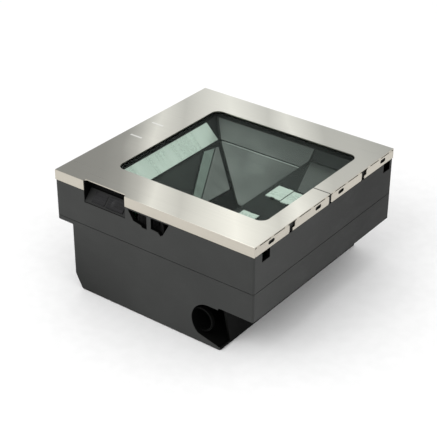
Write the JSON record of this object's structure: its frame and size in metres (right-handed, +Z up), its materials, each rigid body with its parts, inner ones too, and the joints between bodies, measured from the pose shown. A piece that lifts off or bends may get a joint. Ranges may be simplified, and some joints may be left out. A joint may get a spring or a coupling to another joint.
{
  "type": "in-counter barcode scanner",
  "caption": "Drop-in horizontal laser barcode scanner: square steel platter with a scan window over a stepped plastic tub holding the mirrors, spinner and boards.",
  "frame": {"origin": "centre of the footprint's bounding box, on the underside of the deep tub", "axes": "+Z up through the scan window, -Y out of the front face with the finger notch and sound port, +X towards the side with the tabbed skirt"},
  "size_m": [0.292, 0.292, 0.156],
  "materials": {
    "platter_steel": "brushed stainless sheet, fine straight grain",
    "housing_plastic": "moulded dark grey plastic with a fine spark texture",
    "optics_plastic": "black light-absorbing moulding",
    "indicator_gloss": "glossy smoked black plastic",
    "recess_plastic": "black moulded plastic",
    "scan_glass": "clear coated scan glass with a slight green edge",
    "mirror_coat": "first-surface mirror, pale green tint",
    "mirror_dark": "first-surface mirror that reflects the dark well",
    "seal_rubber": "black foam or rubber seal",
    "circuit_board": "green solder mask",
    "component_plastic": "black moulded component cases",
    "bare_steel": "plated steel",
    "black_steel": "steel pressing, painted matt black",
    "motor_metal": "machined aluminium",
    "copper_wire": "enamelled copper wire",
    "cone_paper": "dark pressed paper cone",
    "magnet_ferrite": "sintered ferrite and plated cup",
    "led_lens": "tinted clear lens"
  },
  "bodies": {
    "base": {"lower_housing": "housing_plastic", "upper_housing": "housing_plastic", "housing_screws": "bare_steel", "indicator_panel": "recess_plastic", "indicator_lens": "indicator_gloss", "tact_switch": "component_plastic", "indicator_board": "circuit_board", "status_leds": "led_lens", "indicator_spacers": "recess_plastic", "speaker_frame": "black_steel", "speaker_cone": "cone_paper", "speaker_magnet": "magnet_ferrite", "optics_chassis": "optics_plastic", "chassis_screws": "bare_steel", "dust_seal": "seal_rubber", "mirror_shelf": "optics_plastic", "left_pattern_mirror": "mirror_coat", "fan_mirror_front": "mirror_dark", "fan_mirror_middle": "mirror_coat", "fan_mirror_back": "mirror_dark", "back_pattern_mirror": "mirror_dark", "front_pattern_mirror": "mirror_coat", "back_upper_mirror": "mirror_dark", "shelf_mirror_middle": "mirror_coat", "shelf_mirror_right": "mirror_coat", "shelf_mirror_front": "mirror_coat", "shelf_mirror_back": "mirror_dark", "mirror_clips": "optics_plastic", "motor_base_plate": "motor_metal", "bearing_housing": "motor_metal", "motor_bearings": "bare_steel", "stator_core": "bare_steel", "stator_coils": "copper_wire", "motor_screws": "bare_steel", "laser_module": "copper_wire", "laser_bracket": "motor_metal", "laser_heat_sink": "motor_metal", "photodetector": "circuit_board", "collecting_lens": "scan_glass", "lens_tube": "optics_plastic", "main_board": "circuit_board", "board_components": "component_plastic", "shield_can": "bare_steel", "board_screws": "bare_steel", "interface_board": "circuit_board", "host_jack": "component_plastic", "aux_jack": "component_plastic", "power_jack": "component_plastic", "antenna_jack": "component_plastic", "eas_antenna_coil": "copper_wire", "platter_bumpers": "seal_rubber"},
    "platter_group": {"platter": "platter_steel", "window_glass": "scan_glass", "window_gasket": "seal_rubber", "slit_insert": "recess_plastic"},
    "spinner": {"polygon_mirror": "mirror_coat", "rotor_cup": "motor_metal", "polygon_clip": "bare_steel", "motor_shaft": "bare_steel"},
    "volume_key": {"volume_button": "indicator_gloss"}
  },
  "joints": [
    {"name": "platter_lift", "type": "slide", "parent": "base", "child": "platter_group", "axis": [0, 0, 1], "range_m": [0, 0.05]},
    {"name": "polygon_spin", "type": "hinge", "parent": "base", "child": "spinner", "pos_m": [0.086, 0.0015, 0.1], "axis": [0, 0, 1], "continuous": true},
    {"name": "button_press", "type": "slide", "parent": "base", "child": "volume_key", "axis": [0, 0.7071, -0.7071], "range_m": [0, 0.0012], "stiffness_N_per_m": 1200}
  ]
}
